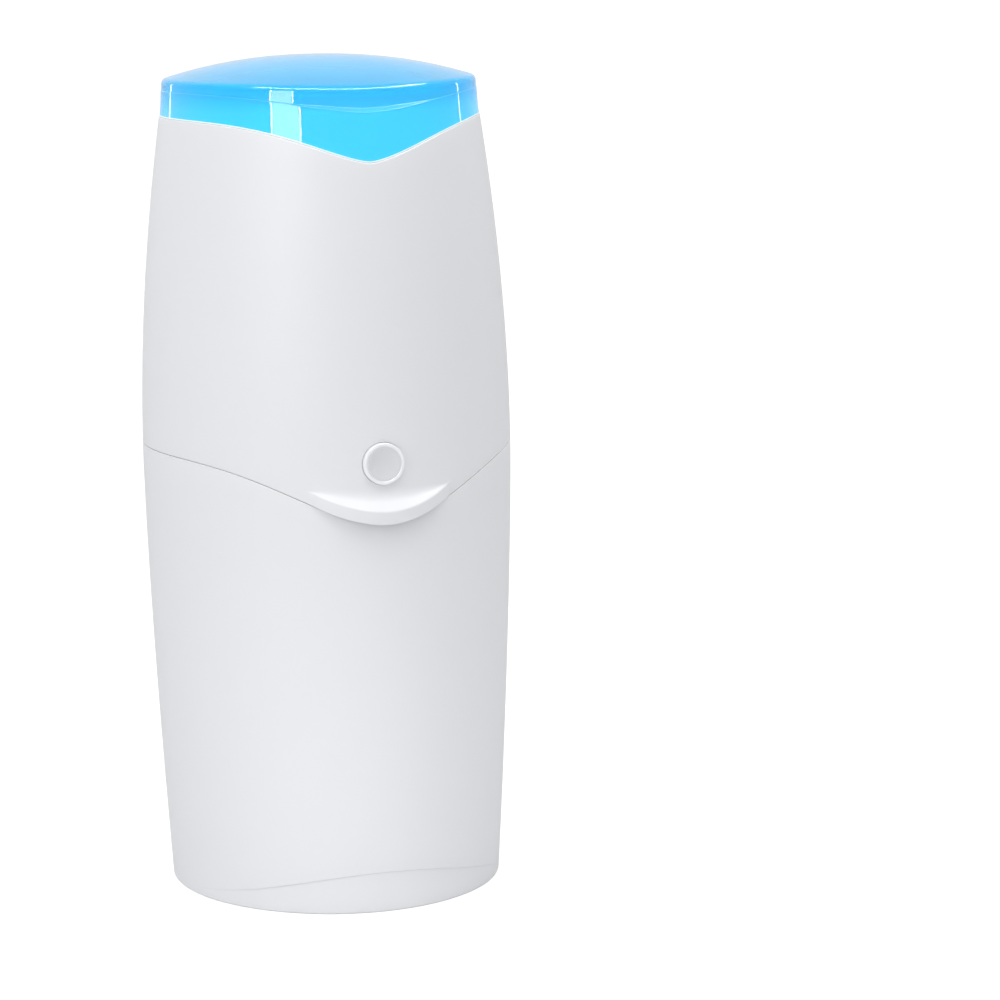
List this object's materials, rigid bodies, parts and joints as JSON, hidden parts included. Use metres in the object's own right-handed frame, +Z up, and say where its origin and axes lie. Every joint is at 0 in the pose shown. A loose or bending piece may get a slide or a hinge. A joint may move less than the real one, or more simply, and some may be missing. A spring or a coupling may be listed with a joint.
{
  "type": "nappy bin",
  "caption": "Free-standing oval nappy bin with a clear hinged lid, a hinged upper head released by a front button, a film cassette and a sprung clamp inside.",
  "frame": {"origin": "centre of the oval foot, on the floor plane", "axes": "+Z up, -Y towards the front with the button, +X to the right seen from behind the camera looking along +Y"},
  "size_m": [0.2626, 0.3111, 0.5947],
  "materials": {
    "white_shell": "satin moulded, off-white",
    "button_white": "polished, white",
    "grey_plastic": "fine matt, light grey",
    "mechanism_blue": "moulded, mid blue",
    "cassette_blue": "glossy, deep blue",
    "sleeve_blue": "plain printed sleeve, light blue",
    "film": "thin film in pleats, white",
    "soft_lip": "soft elastomer, dark grey",
    "steel": "bright",
    "clear_blue": "clear tinted, polished"
  },
  "bodies": {
    "base": {"base_shell": "white_shell", "latch_keeper": "grey_plastic", "keeper_screws": "steel", "head_hinge_pin": "steel"},
    "head": {"head_shell": "white_shell", "lid_hinge_pin": "steel", "button_housing": "grey_plastic", "housing_screws": "steel", "latch_pin": "steel", "button_spring": "steel", "cassette_tray": "grey_plastic", "tray_screws": "steel", "cassette_tub": "cassette_blue", "cassette_cap": "cassette_blue", "cassette_collar": "cassette_blue", "cassette_sleeve": "sleeve_blue", "film_pack": "film", "clamp_housing": "grey_plastic", "clamp_screws": "steel", "flap_pins": "steel", "flap_springs": "steel", "cutter_guard": "mechanism_blue", "cutter_blade": "steel"},
    "button": {"release_button": "button_white"},
    "latch": {"latch_lever": "mechanism_blue"},
    "flap_left_body": {"flap_left": "mechanism_blue", "flap_left_lip": "soft_lip"},
    "flap_right_body": {"flap_right": "mechanism_blue", "flap_right_lip": "soft_lip"},
    "lid": {"lid_shell": "clear_blue"}
  },
  "joints": [
    {"name": "head_hinge", "type": "hinge", "parent": "base", "child": "head", "pos_m": [0, 0.15174, 0.3202], "axis": [-1, 0, 0], "range_deg": [0, 80]},
    {"name": "lid_hinge", "type": "hinge", "parent": "head", "child": "lid", "pos_m": [0, 0.13045, 0.552], "axis": [-1, 0, 0], "range_deg": [0, 95]},
    {"name": "button_press", "type": "slide", "parent": "head", "child": "button", "axis": [0, 1, 0], "range_m": [0, 0.0035], "stiffness_N_per_m": 400, "springref_m": -0.004},
    {"name": "latch_turn", "type": "hinge", "parent": "head", "child": "latch", "pos_m": [0, -0.12123, 0.3455], "axis": [1, 0, 0], "range_deg": [0, 8.1]},
    {"name": "flap_left_turn", "type": "hinge", "parent": "head", "child": "flap_left_body", "pos_m": [-0.051, 0, 0.4821], "axis": [0, 1, 0], "range_deg": [0, 75], "stiffness_Nm_per_rad": 0.02, "springref_deg": -45.84},
    {"name": "flap_right_turn", "type": "hinge", "parent": "head", "child": "flap_right_body", "pos_m": [0.051, 0, 0.4821], "axis": [0, -1, 0], "range_deg": [0, 75], "stiffness_Nm_per_rad": 0.02, "springref_deg": -45.84}
  ],
  "couplings": [
    {"joint": "latch_turn", "follows": "button_press", "rad_per_m": 40}
  ]
}
